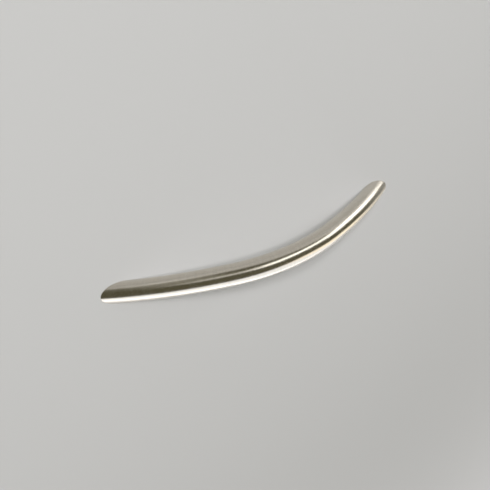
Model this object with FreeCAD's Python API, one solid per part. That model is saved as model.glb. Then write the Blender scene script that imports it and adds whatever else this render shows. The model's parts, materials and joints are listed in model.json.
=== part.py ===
import FreeCAD, Part

import math
import os

# Driving dimensions, in millimetres and degrees. The mounting plane is z = 0 and the arch rises to
# +Z from two feet on the X axis. The origin lies midway between the feet.
hole_spacing = 128.0
bar_diameter = 9.5
crown_radius = 70.0
flank_radius = 210.0
foot_slope = 34.0
rim_round = 0.25
tap_drill_diameter = 3.3
drill_point_angle = 118.0
mouth_chamfer = 0.3
heel_wall = 1.85
roof_wall = 1.8

# The foot is an oval, because the bar meets the mounting plane at a slant. Each screw enters near its
# heel, the inner end, where the bar is thickest above the plane. heel_wall is the metal left between
# the bore and the heel, and that sets how far out the feet stand.
bar_radius = bar_diameter / 2
bore_radius = tap_drill_diameter / 2
slope = math.radians(foot_slope)
hole_x = hole_spacing / 2
foot_half_length = bar_radius / math.sin(slope)
foot_x = hole_x - bore_radius - heel_wall + foot_half_length

# The centreline is three tangent arcs: a tight crown, and a flatter flank from it down to each foot.
# Angles are measured from +Z about the centre of each arc.
crown_half_angle = math.asin(
    (flank_radius * math.sin(slope) - foot_x) / (flank_radius - crown_radius)
)
flank_centre_x = foot_x - flank_radius * math.sin(slope)
flank_centre_z = -flank_radius * math.cos(slope)
crown_centre_z = flank_centre_z + (flank_radius - crown_radius) * math.cos(crown_half_angle)

# The bore ends under the slanting back of the bar, which is lowest over the bore's outer side.
# roof_wall is the metal left there.
roof_run = hole_x + bore_radius - flank_centre_x
roof_height = flank_centre_z + math.sqrt((flank_radius + bar_radius) ** 2 - roof_run**2)
bore_depth = roof_height - roof_wall


def arc_of_bar(centre_x, centre_z, radius, start, end):
    """The round bar bent about a centre, from one angle to another, towards +X.

    A quarter turn of the section puts the seam of the bent surface on the side of the bar, clear of
    the toe and the heel of the foot.
    """
    middle = FreeCAD.Vector(centre_x, 0, centre_z + radius)
    circle = Part.Circle(middle, FreeCAD.Vector(1, 0, 0), bar_radius)
    section = Part.Face(Part.Wire(circle.toShape()))
    section.rotate(middle, FreeCAD.Vector(1, 0, 0), 90)
    centre = FreeCAD.Vector(centre_x, 0, centre_z)
    section.rotate(centre, FreeCAD.Vector(0, 1, 0), math.degrees(start))
    return section.revolve(centre, FreeCAD.Vector(0, 1, 0), math.degrees(end - start))


def bent_bar():
    """The whole bar, whose ends run on past the mounting plane far enough for the slanting cut."""
    crown = arc_of_bar(0, crown_centre_z, crown_radius, -crown_half_angle, crown_half_angle)
    overrun = bar_diameter / math.tan(slope)
    end = slope + overrun / flank_radius
    flank = arc_of_bar(flank_centre_x, flank_centre_z, flank_radius, crown_half_angle, end)
    other_flank = flank.mirror(FreeCAD.Vector(0, 0, 0), FreeCAD.Vector(1, 0, 0))
    return crown.fuse([flank, other_flank])


def block_below_plane(bar):
    """A block round all of the bar that lies under the mounting plane."""
    box = bar.BoundBox
    margin = bar_diameter
    corner = FreeCAD.Vector(box.XMin - margin, box.YMin - margin, box.ZMin - margin)
    return Part.makeBox(box.XLength + 2 * margin, box.YLength + 2 * margin, -corner.z, corner)


def foot_rims(bar):
    """The edges of the two feet: those that lie all along the mounting plane."""
    flat = rim_round / 100
    return [e for e in bar.Edges if max(abs(e.BoundBox.ZMin), abs(e.BoundBox.ZMax)) < flat]


def tapped_hole(x):
    """What a blind hole takes out, up from the mounting plane: chamfered mouth, bore, drill point."""
    point_height = bore_radius / math.tan(math.radians(drill_point_angle / 2))
    outline = [
        (0, 0),
        (bore_radius + mouth_chamfer, 0),
        (bore_radius, mouth_chamfer),
        (bore_radius, bore_depth),
        (0, bore_depth + point_height),
        (0, 0),
    ]
    profile = Part.makePolygon([FreeCAD.Vector(x + r, 0, z) for r, z in outline])
    return Part.Face(profile).revolve(FreeCAD.Vector(x, 0, 0), FreeCAD.Vector(0, 0, 1), 360)


def pull_bar():
    """The pull is one bar: bent, both ends cut flat by one plane, rims rounded, feet drilled."""
    bar = bent_bar()
    bar = bar.cut(block_below_plane(bar))
    bar = bar.makeFillet(rim_round, foot_rims(bar))
    return bar.cut([tapped_hole(-hole_x), tapped_hole(hole_x)])


os.makedirs("parts", exist_ok=True)
pull = pull_bar()
pull.exportStep("parts/pull_bar.step")
print("projection", round(crown_centre_z + crown_radius + bar_radius, 2))
print("feet at", round(foot_x, 3), "bore depth", round(bore_depth, 2))
print("solids", len(pull.Solids), "valid", pull.isValid(), "volume", round(pull.Volume, 1))
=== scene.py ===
import json
import math

import bmesh
import bpy
from mathutils import Matrix, Vector


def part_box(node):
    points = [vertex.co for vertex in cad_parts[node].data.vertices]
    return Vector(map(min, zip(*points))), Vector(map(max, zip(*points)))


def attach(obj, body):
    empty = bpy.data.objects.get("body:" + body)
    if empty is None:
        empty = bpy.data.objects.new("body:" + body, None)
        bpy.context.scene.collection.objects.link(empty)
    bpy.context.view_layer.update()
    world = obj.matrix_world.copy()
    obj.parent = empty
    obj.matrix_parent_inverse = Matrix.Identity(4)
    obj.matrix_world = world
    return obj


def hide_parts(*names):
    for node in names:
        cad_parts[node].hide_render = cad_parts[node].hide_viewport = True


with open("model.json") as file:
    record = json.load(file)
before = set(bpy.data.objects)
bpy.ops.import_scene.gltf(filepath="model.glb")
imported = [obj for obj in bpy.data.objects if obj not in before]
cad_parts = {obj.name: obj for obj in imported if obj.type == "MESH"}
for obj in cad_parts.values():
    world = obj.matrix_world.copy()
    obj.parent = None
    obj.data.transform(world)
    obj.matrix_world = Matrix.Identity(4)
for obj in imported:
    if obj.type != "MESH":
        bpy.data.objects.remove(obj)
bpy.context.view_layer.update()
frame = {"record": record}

# The pull is one round steel bar, bent to a low arch, sawn off at both ends along the plane of the
# drawer front and ground flat there. It is brushed round its section on a fine belt, plated with satin
# nickel, and last drilled and tapped in each foot for an M4 screw that comes through from behind.
MM = 0.001
bar_low, bar_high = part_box("pull_bar")
bar_radius = (bar_high.y - bar_low.y) / 2 / MM
crown_radius = 70.0
flank_radius = 210.0
foot_slope = math.radians(34.0)
rim_round = 0.25
heel_wall = 1.85
roof_wall = 1.8

# The record says how far apart the two tapped holes are and how wide their bores.
screw_holes = next(m for m in frame["record"]["mounts"] if m["name"] == "screw_holes")
hole_x = screw_holes["dims"]["spacing_x_mm"] / 2
bore_radius = screw_holes["dims"]["hole_r_mm"]
mouth_chamfer = 0.3
drill_point_angle = math.radians(118.0)
thread_pitch = 0.7
thread_depth = 0.35
thread_flank = thread_depth * math.tan(math.radians(30.0))
thread_root_flat = thread_pitch / 8

# The middle line is a tight crown arc and two flatter flank arcs, tangent to each other.
foot_half_length = bar_radius / math.sin(foot_slope)
foot_x = hole_x - bore_radius - heel_wall + foot_half_length
crown_half_angle = math.asin(
    (flank_radius * math.sin(foot_slope) - foot_x) / (flank_radius - crown_radius)
)
flank_x = foot_x - flank_radius * math.sin(foot_slope)
flank_z = -flank_radius * math.cos(foot_slope)
crown_z = flank_z + (flank_radius - crown_radius) * math.cos(crown_half_angle)
roof_run = hole_x + bore_radius - flank_x
roof_height = flank_z + math.sqrt((flank_radius + bar_radius) ** 2 - roof_run**2)
bore_depth = roof_height - roof_wall

# Every row of points goes once round the bar and starts on the inner side of the arch, so that the
# mesh is one long grid from the drill point in one foot to the drill point in the other.
section_steps = 128
turns = [math.tau * (step / section_steps + 0.5) for step in range(section_steps)]
row_spacing = 0.8
rim_rows = 5
foot_rows = 4
thread_rows_per_pitch = 12

# The mesh has three surfaces, and these are also the numbers of their materials.
BAR, FOOT, BORE = 0, 1, 2


def outward(bend, turn):
    """The direction out of the bar, at a bend angle along the arch and a turn round the section."""
    side = math.cos(turn)
    return Vector((side * math.sin(bend), math.sin(turn), side * math.cos(bend)))


def arc_row(centre_x, centre_z, radius, bends, along):
    """One row on an arc of the bar. Each turn round the section has its own bend angle."""
    row = []
    for bend, turn, distance in zip(bends, turns, along):
        middle = Vector((centre_x + radius * math.sin(bend), 0, centre_z + radius * math.cos(bend)))
        row.append((middle + bar_radius * outward(bend, turn), distance))
    return row


def next_row(last_row, points):
    """A row that carries on from the last, with its distances along the surface added up."""
    return [(point, along + (point - last).length) for point, (last, along) in zip(points, last_row)]


def thread_groove(turn, height):
    """How deep the M4 thread is cut at a place in the bore, fading out at both of its ends."""
    phase = (height / thread_pitch - turn / math.tau) % 1.0
    from_root = abs(phase - 0.5) * thread_pitch - thread_root_flat / 2
    cut = thread_depth * min(1.0, max(0.0, 1.0 - from_root / thread_flank))
    run_in = min(1.0, height / mouth_chamfer)
    run_out = min(1.0, max(0.0, (bore_depth - height) / thread_pitch))
    return cut * run_in * run_out


def half_bar_rows():
    """The rows from the middle of the crown to the drill point in the +X foot, by surface."""
    rows = []
    steps = round(crown_radius * crown_half_angle / row_spacing)
    for step in range(steps):
        bend = crown_half_angle * step / steps
        count = section_steps
        row = arc_row(0, crown_z, crown_radius, [bend] * count, [crown_radius * bend] * count)
        rows.append((BAR, row))

    # A ball of the rim's radius rolls inside the bar along its foot. Where it touches the bar, the
    # flank ends and the rim starts, and where it touches the mounting plane, the rim ends.
    crown_length = crown_radius * crown_half_angle
    ends = []
    for turn in turns:
        reach = flank_radius + (bar_radius - rim_round) * math.cos(turn)
        ends.append(math.acos((rim_round - flank_z) / reach))
    steps = round(flank_radius * (foot_slope - crown_half_angle) / row_spacing)
    for step in range(steps + 1):
        bends = [crown_half_angle + (end - crown_half_angle) * step / steps for end in ends]
        along = [crown_length + flank_radius * (bend - crown_half_angle) for bend in bends]
        rows.append((BAR, arc_row(flank_x, flank_z, flank_radius, bends, along)))

    balls = []
    for end, turn in zip(ends, turns):
        middle = Vector((flank_x + flank_radius * math.sin(end), 0, flank_z + flank_radius * math.cos(end)))
        balls.append((middle + (bar_radius - rim_round) * outward(end, turn), outward(end, turn)))
    for step in range(1, rim_rows + 1):
        points = []
        for ball, normal in balls:
            roll = normal.rotation_difference(Vector((0, 0, -1)))
            part_way = Matrix.Rotation(roll.angle * step / rim_rows, 3, roll.axis)
            points.append(ball + rim_round * (part_way @ normal))
        rows.append((BAR, next_row(rows[-1][1], points)))

    # The foot is flat from its rim to the mouth of the hole. The bore has the same number of points
    # round it, each in line with a point of the rim.
    rim = [point for point, along in rows[-1][1]]
    spokes = [Vector((point.x - hole_x, point.y, 0)) for point in rim]
    directions = [spoke.normalized() for spoke in spokes]
    hole = Vector((hole_x, 0, 0))
    mouth_radius = bore_radius + mouth_chamfer
    for step in range(1, foot_rows + 1):
        share = step / foot_rows
        reaches = [spoke.length * (1 - share) + mouth_radius * share for spoke in spokes]
        points = [hole + reach * way for reach, way in zip(reaches, directions)]
        rows.append((FOOT, next_row(rows[-1][1], points)))

    steps = round(bore_depth / thread_pitch * thread_rows_per_pitch)
    for step in range(1, steps + 1):
        height = bore_depth * step / steps
        chamfer = max(0.0, mouth_chamfer - height)
        points = []
        for way in directions:
            groove = thread_groove(math.atan2(way.y, way.x), height)
            reach = bore_radius + max(chamfer, groove)
            points.append(hole + reach * way + Vector((0, 0, height)))
        rows.append((BORE, next_row(rows[-1][1], points)))
    return rows


def pull_mesh():
    """The whole pull as one closed mesh, mirrored from its half, with the coordinates of its finish.

    bar_place is where a point would lie on the bar before it was bent, in millimetres: along the bar,
    and across it both ways. unrolled is the same surface laid out flat, as the belt went over it.
    """
    half = half_bar_rows()
    mirrored = []
    for surface, row in reversed(half[1:]):
        mirrored.append((surface, [(Vector((-p.x, p.y, p.z)), -along) for p, along in row]))
    rows = mirrored + half

    maker = bmesh.new()
    bar_place = maker.verts.layers.float_vector.new("bar_place")
    unrolled = maker.loops.layers.uv.new("unrolled")
    circumference = math.tau * bar_radius
    grid = []
    for _, row in rows:
        verts = []
        for (point, along), turn in zip(row, turns):
            vert = maker.verts.new(point * MM)
            vert[bar_place] = (along, bar_radius * math.sin(turn), bar_radius * math.cos(turn))
            verts.append(vert)
        grid.append(verts)

    for first in range(len(rows) - 1):
        surface = max(rows[first][0], rows[first + 1][0])
        for step in range(section_steps):
            after = (step + 1) % section_steps
            corners = [(first, step), (first, after), (first + 1, after), (first + 1, step)]
            face = maker.faces.new([grid[row][column] for row, column in corners])
            face.material_index = surface
            face.smooth = True
            shares = (step, step + 1, step + 1, step)
            for loop, (row, column), share in zip(face.loops, corners, shares):
                along = rows[row][1][column][1]
                loop[unrolled].uv = (along / circumference, share / section_steps)

    tip_height = bore_depth + bore_radius / math.tan(drill_point_angle / 2)
    for verts, side in ((grid[0], -1), (grid[-1], 1)):
        tip = maker.verts.new(Vector((side * hole_x, 0, tip_height)) * MM)
        tip[bar_place] = verts[0][bar_place]
        for step in range(section_steps):
            face = maker.faces.new([verts[step], verts[(step + 1) % section_steps], tip])
            face.material_index = BORE
            face.smooth = True
    bmesh.ops.recalc_face_normals(maker, faces=maker.faces)
    mesh = bpy.data.meshes.new("pull_bar_plated")
    maker.to_mesh(mesh)
    maker.free()
    sharp_edge_angle = math.radians(28.0)
    mesh.set_sharp_from_angle(angle=sharp_edge_angle)
    return mesh


def linear(hex_colour):
    """An sRGB hex colour as the linear colour that a shader takes."""
    channels = [int(hex_colour[i : i + 2], 16) / 255 for i in (1, 3, 5)]
    return tuple(c / 12.92 if c <= 0.04045 else ((c + 0.055) / 1.055) ** 2.4 for c in channels) + (1.0,)


def add_node(tree, kind, inputs=None, **settings):
    """Adds a node with its settings. An input is a plain value, or another node's output to link."""
    node = tree.nodes.new(kind)
    for name, value in settings.items():
        setattr(node, name, value)
    for name, value in (inputs or {}).items():
        if isinstance(value, bpy.types.NodeSocket):
            tree.links.new(value, node.inputs[name])
        else:
            node.inputs[name].default_value = value
    return node


def satin_nickel_plating():
    """Satin nickel plating over belt-brushed steel: a warm grey metal whose reflections keep their
    edges across the bar and run together along it, because the brush lines go round the section."""
    material = bpy.data.materials.new("satin_nickel_plating_belt_brushed")
    material.use_nodes = True
    tree = material.node_tree
    tree.nodes.clear()
    place = add_node(tree, "ShaderNodeAttribute", attribute_name="bar_place")

    # A 240 grit belt leaves lines some 0.06 mm apart, too fine to show, so they are drawn 0.3 mm
    # apart. Each goes a long way round the bar before it fades.
    line_spacing = 0.3
    line_reach = 14.0
    stretched = add_node(
        tree,
        "ShaderNodeVectorMath",
        {0: place.outputs["Vector"], 1: (1 / line_spacing, 1 / line_reach, 1 / line_reach)},
        operation="MULTIPLY",
    )
    lines = add_node(
        tree,
        "ShaderNodeTexNoise",
        {"Vector": stretched.outputs["Vector"], "Scale": 1.0, "Detail": 3.0, "Roughness": 0.6},
    )

    # The plating itself is a little cloudy, in patches of about 5 mm.
    cloud_size = 5.0
    clouds = add_node(
        tree,
        "ShaderNodeTexNoise",
        {"Vector": place.outputs["Vector"], "Scale": 1 / cloud_size, "Detail": 2.0},
    )
    tint = add_node(
        tree,
        "ShaderNodeMix",
        {"Factor": clouds.outputs["Fac"], "A": linear("#CDC6B9"), "B": linear("#D6D0C5")},
        data_type="RGBA",
    )
    lines_tint = add_node(
        tree,
        "ShaderNodeMapRange",
        {"Value": lines.outputs["Fac"], "From Min": 0.3, "From Max": 0.7, "To Min": 0.94, "To Max": 1.06},
    )
    colour = add_node(
        tree,
        "ShaderNodeVectorMath",
        {0: tint.outputs["Result"], "Scale": lines_tint.outputs["Result"]},
        operation="SCALE",
    )
    roughness = add_node(
        tree,
        "ShaderNodeMapRange",
        {"Value": clouds.outputs["Fac"], "From Min": 0.3, "From Max": 0.7, "To Min": 0.23, "To Max": 0.27},
    )
    relief = add_node(
        tree,
        "ShaderNodeBump",
        {"Height": lines.outputs["Fac"], "Strength": 1.0, "Distance": 0.01 * MM},
    )
    along_bar = add_node(tree, "ShaderNodeTangent", direction_type="UV_MAP", uv_map="unrolled")
    shader = add_node(
        tree,
        "ShaderNodeBsdfPrincipled",
        {
            "Base Color": colour.outputs["Vector"],
            "Metallic": 1.0,
            "Roughness": roughness.outputs["Result"],
            "Anisotropic": 0.4,
            "Tangent": along_bar.outputs["Tangent"],
            "Normal": relief.outputs["Normal"],
        },
    )
    add_node(tree, "ShaderNodeOutputMaterial", {"Surface": shader.outputs["BSDF"]})
    return material


def ground_nickel_foot():
    """The foot's face is sawn and ground flat before the plating, so under the nickel it keeps
    straight grinding lines and looks duller than the bar."""
    material = bpy.data.materials.new("satin_nickel_plating_surface_ground")
    material.use_nodes = True
    tree = material.node_tree
    tree.nodes.clear()
    place = add_node(tree, "ShaderNodeTexCoord")

    # Grinding lines about 0.15 mm apart run straight across the foot.
    line_spacing = 0.15 * MM
    line_length = 12.0 * MM
    stretched = add_node(
        tree,
        "ShaderNodeVectorMath",
        {0: place.outputs["Object"], 1: (1 / line_spacing, 1 / line_length, 1 / line_length)},
        operation="MULTIPLY",
    )
    lines = add_node(
        tree,
        "ShaderNodeTexNoise",
        {"Vector": stretched.outputs["Vector"], "Scale": 1.0, "Detail": 2.0},
    )
    colour = add_node(
        tree,
        "ShaderNodeMix",
        {"Factor": lines.outputs["Fac"], "A": linear("#A79F91"), "B": linear("#CDC6B8")},
        data_type="RGBA",
    )
    relief = add_node(
        tree,
        "ShaderNodeBump",
        {"Height": lines.outputs["Fac"], "Strength": 0.6, "Distance": 0.02 * MM},
    )
    shader = add_node(
        tree,
        "ShaderNodeBsdfPrincipled",
        {
            "Base Color": colour.outputs["Result"],
            "Metallic": 1.0,
            "Roughness": 0.42,
            "Normal": relief.outputs["Normal"],
        },
    )
    add_node(tree, "ShaderNodeOutputMaterial", {"Surface": shader.outputs["BSDF"]})
    return material


def tapped_steel_bore():
    """Bare mild steel in the tapped hole, cut after the plating: darker and greyer than the nickel,
    with a rough tap-torn surface that still holds a film of cutting oil."""
    material = bpy.data.materials.new("mild_steel_tapped")
    material.use_nodes = True
    tree = material.node_tree
    tree.nodes.clear()
    place = add_node(tree, "ShaderNodeTexCoord")
    torn_size = 0.2 * MM
    torn = add_node(
        tree,
        "ShaderNodeTexNoise",
        {"Vector": place.outputs["Object"], "Scale": 1 / torn_size, "Detail": 3.0},
    )
    colour = add_node(
        tree,
        "ShaderNodeMix",
        {"Factor": torn.outputs["Fac"], "A": linear("#6E6A64"), "B": linear("#A09B94")},
        data_type="RGBA",
    )
    shader = add_node(
        tree,
        "ShaderNodeBsdfPrincipled",
        {"Base Color": colour.outputs["Result"], "Metallic": 1.0, "Roughness": 0.36},
    )
    add_node(tree, "ShaderNodeOutputMaterial", {"Surface": shader.outputs["BSDF"]})
    return material


pull = bpy.data.objects.new("pull_bar_plated", pull_mesh())
bpy.context.scene.collection.objects.link(pull)
pull.data.materials.append(satin_nickel_plating())
pull.data.materials.append(ground_nickel_foot())
pull.data.materials.append(tapped_steel_bore())

# The ground face shades flat right up to its rounded rim.
flat_foot = pull.modifiers.new("flat_foot", "WEIGHTED_NORMAL")
flat_foot.keep_sharp = True
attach(pull, "root")
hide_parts("pull_bar")

# The floor is a large lacquered board in plain pale grey, which stands for the drawer front that the
# pull is screwed to. A hand's width from the pull it starts to fade into the pale colour of the room.
floor_grey = linear("#CACACB")
backdrop_grey = linear("#C8C7C5")
floor_half_width = 3.0
fade_start = 0.15
fade_end = 0.5
floor_mesh = bpy.data.meshes.new("floor")
floor_corners = [(-1, -1), (1, -1), (1, 1), (-1, 1)]
floor_mesh.from_pydata(
    [(x * floor_half_width, y * floor_half_width, 0) for x, y in floor_corners], [], [(0, 1, 2, 3)]
)
floor = bpy.data.objects.new("floor", floor_mesh)
bpy.context.scene.collection.objects.link(floor)


def lacquered_board():
    """Board under gloss lacquer. Its gloss shows in the metal only, so that the board itself stays
    plain. It takes the pull's soft shadow near by, and glows as pale as the room far off."""
    material = bpy.data.materials.new("board_gloss_lacquered")
    material.use_nodes = True
    tree = material.node_tree
    tree.nodes.clear()
    rays = add_node(tree, "ShaderNodeLightPath")
    gloss = add_node(
        tree,
        "ShaderNodeMapRange",
        {"Value": rays.outputs["Is Camera Ray"], "To Min": 0.5, "To Max": 0.0},
    )
    board = add_node(
        tree,
        "ShaderNodeBsdfPrincipled",
        {"Base Color": floor_grey, "Roughness": 0.12, "Specular IOR Level": gloss.outputs["Result"]},
    )
    seen_or_mirrored = add_node(
        tree,
        "ShaderNodeMath",
        {0: rays.outputs["Is Camera Ray"], 1: rays.outputs["Is Glossy Ray"]},
        operation="ADD",
    )
    seen = add_node(
        tree,
        "ShaderNodeMath",
        {0: seen_or_mirrored.outputs["Value"], 1: rays.outputs["Is Transmission Ray"]},
        operation="ADD",
        use_clamp=True,
    )
    room = add_node(tree, "ShaderNodeEmission", {"Color": backdrop_grey, "Strength": 1.0})
    place = add_node(tree, "ShaderNodeTexCoord")
    distance = add_node(
        tree, "ShaderNodeVectorMath", {0: place.outputs["Object"]}, operation="LENGTH"
    )
    fade = add_node(
        tree,
        "ShaderNodeMapRange",
        {"Value": distance.outputs["Value"], "From Min": fade_start, "From Max": fade_end},
        interpolation_type="SMOOTHSTEP",
    )
    share = add_node(
        tree,
        "ShaderNodeMath",
        {0: fade.outputs["Result"], 1: seen.outputs["Value"]},
        operation="MULTIPLY",
    )
    surface = add_node(
        tree,
        "ShaderNodeMixShader",
        {0: share.outputs["Value"], 1: board.outputs["BSDF"], 2: room.outputs["Emission"]},
    )
    add_node(tree, "ShaderNodeOutputMaterial", {"Surface": surface.outputs["Shader"]})
    return material


floor.data.materials.append(lacquered_board())

# The room is plain and pale all round. It shows beyond the floor, and the metal mirrors it under the
# rim of the canopy.
world = bpy.data.worlds.new("room")
world.use_nodes = True
room_tree = world.node_tree
room_tree.nodes.clear()
background = add_node(room_tree, "ShaderNodeBackground", {"Color": backdrop_grey, "Strength": 1.0})
add_node(room_tree, "ShaderNodeOutputWorld", {"Surface": background.outputs["Background"]})
bpy.context.scene.world = world

# A dim cloth canopy hangs over the whole set and, like the lamps, stays out of the picture. The bar
# mirrors it as the dark band between its two bright ones. It hangs to the floor beyond the ends of
# the pull, and is drawn up along the two long sides, a little askew to the pull.
canopy_radius = 2.8

# The heights of its rim are shares of its radius, from the floor up.
rim_low = -0.15
rim_drawn_up = 0.6
rim_turn = math.radians(22.0)
canopy_columns = 96
canopy_rings = 24
canopy_maker = bmesh.new()
canopy_top = canopy_maker.verts.new((0, 0, canopy_radius))
canopy_grid = []
for column in range(canopy_columns):
    around = math.tau * column / canopy_columns
    rim = math.asin(rim_low + rim_drawn_up * math.sin(around + rim_turn) ** 2)
    verts = []
    for ring in range(canopy_rings):
        lift = rim + (math.pi / 2 - rim) * ring / canopy_rings
        way = (math.cos(lift) * math.cos(around), math.cos(lift) * math.sin(around), math.sin(lift))
        verts.append(canopy_maker.verts.new(Vector(way) * canopy_radius))
    canopy_grid.append(verts)
for column in range(canopy_columns):
    here, beside = canopy_grid[column], canopy_grid[(column + 1) % canopy_columns]
    for ring in range(canopy_rings - 1):
        canopy_maker.faces.new((here[ring], beside[ring], beside[ring + 1], here[ring + 1]))
    canopy_maker.faces.new((here[-1], beside[-1], canopy_top))
canopy_mesh = bpy.data.meshes.new("canopy")
canopy_maker.to_mesh(canopy_mesh)
canopy_maker.free()
canopy = bpy.data.objects.new("canopy", canopy_mesh)
bpy.context.scene.collection.objects.link(canopy)
canopy.visible_camera = False

# Plain cotton, dyed olive and evenly lit through, so that the metal mirrors it as one flat tone.
canopy_cloth = bpy.data.materials.new("cotton_cloth_dyed_olive")
canopy_cloth.use_nodes = True
cloth_tree = canopy_cloth.node_tree
cloth_tree.nodes.clear()
glow = add_node(cloth_tree, "ShaderNodeEmission", {"Color": linear("#5D5A48"), "Strength": 1.0})
add_node(cloth_tree, "ShaderNodeOutputMaterial", {"Surface": glow.outputs["Emission"]})
canopy.data.materials.append(canopy_cloth)


# Softboxes stand round the pull, and the bar mirrors each as a band along its length. Each is as
# bright as its radiance says, where 1 shows as white. Those on the far side and at the -X end show in
# the metal only. The key lamp is the other way round: it lights the floor and casts the soft shadow
# there, and the metal doesn't mirror it.
def softbox(name, start, end, width, radiance, colour="#FFFFFF", aim=(0, 0, 0), seen_by="both"):
    """A flat softbox whose middle line goes from start to end, turned to face the aim."""
    start, end = Vector(start), Vector(end)
    lamp = bpy.data.lights.new(name, "AREA")
    lamp.shape = "RECTANGLE"
    lamp.size = width
    lamp.size_y = (end - start).length
    lamp.energy = radiance * math.pi * lamp.size * lamp.size_y
    lamp.color = linear(colour)[:3]
    centre = (start + end) / 2
    along = (end - start).normalized()
    back = centre - Vector(aim)
    back = (back - back.dot(along) * along).normalized()
    across = along.cross(back)
    turn = Matrix((across, along, back)).transposed()
    holder = bpy.data.objects.new(name, lamp)
    holder.matrix_world = Matrix.Translation(centre) @ turn.to_4x4()
    holder.visible_diffuse = seen_by != "metal"
    holder.visible_glossy = seen_by != "floor"
    bpy.context.scene.collection.objects.link(holder)


# The far side, beyond the bar from the camera, is one large window of light that turns creamier
# towards the -X end and has a brighter strip low down.
far_aim = (-0.25, 0, 0.45)
far_middle = (-0.6, 0.6, 0.534)
softbox(
    "far_side",
    start=(1.3, 0.6, -0.08),
    end=far_middle,
    width=1.44,
    radiance=1.42,
    colour="#F3F6FF",
    aim=far_aim,
    seen_by="metal",
)
softbox(
    "far_end",
    start=far_middle,
    end=(-1.3, 0.6, 0.76),
    width=1.44,
    radiance=1.6,
    colour="#FFF6E6",
    aim=far_aim,
    seen_by="metal",
)
softbox(
    "far_low",
    start=(1.3, 0.62, 0.08),
    end=(-0.5, 0.62, 0.08),
    width=0.26,
    radiance=0.35,
    colour="#F3F6FF",
    seen_by="metal",
)

# A narrow strip of light rises at the -X end and bends over the pull, where it gets dimmer.
strip_bend = (-0.9, -0.3, 0.2)
softbox("end_low", start=(-1.0, -0.29, -0.1), end=strip_bend, width=0.32, radiance=3.0, seen_by="metal")
softbox("end_high", start=strip_bend, end=(-0.8, -0.33, 0.55), width=0.34, radiance=2.1, seen_by="metal")
softbox("overhead", start=(-0.84, -0.44, 0.56), end=(0.02, -0.34, 0.64), width=0.2, radiance=2.3)
softbox("overhead_dim", start=(0.02, -0.37, 0.6), end=(0.5, -0.44, 0.6), width=0.2, radiance=0.55)

# A dim card stands on the near side, off the +X end. The key lamp hangs high up behind the camera, so
# that the bar hides most of its own shadow.
softbox("card_right", start=(0.42, -0.86, 0.0), end=(0.5, -0.5, 0.72), width=0.36, radiance=0.2)
softbox("key", start=(0.5, -1.27, 1.9), end=(1.2, -1.27, 1.9), width=0.7, radiance=33.9, seen_by="floor")

# The camera stands where the photo's own stood, found from the outline of the bar in the photo. The
# two shifts move it across its own view, because the bar lies off the middle of the photo.
camera_azimuth = math.radians(33.4421)
camera_elevation = math.radians(56.2939)
camera_roll = math.radians(129.2298)
camera_distance = 0.20791
camera_right_shift = -0.00678
camera_up_shift = -0.00439
camera_lens = 32.02
back = Vector(
    (
        math.sin(camera_azimuth) * math.cos(camera_elevation),
        -math.cos(camera_azimuth) * math.cos(camera_elevation),
        math.sin(camera_elevation),
    )
)
level_right = (-back).cross(Vector((0, 0, 1))).normalized()
level_up = back.cross(level_right)
right = level_right * math.cos(camera_roll) + level_up * math.sin(camera_roll)
up = level_up * math.cos(camera_roll) - level_right * math.sin(camera_roll)
camera = bpy.data.objects.new("camera", bpy.data.cameras.new("camera"))
camera.data.lens = camera_lens
camera.data.clip_start = 0.01
camera.data.clip_end = 20.0
stand = back * camera_distance + right * camera_right_shift + up * camera_up_shift
camera.matrix_world = Matrix.Translation(stand) @ Matrix((right, up, back)).transposed().to_4x4()
bpy.context.scene.collection.objects.link(camera)
bpy.context.scene.camera = camera
bpy.context.scene.view_settings.view_transform = "Standard"
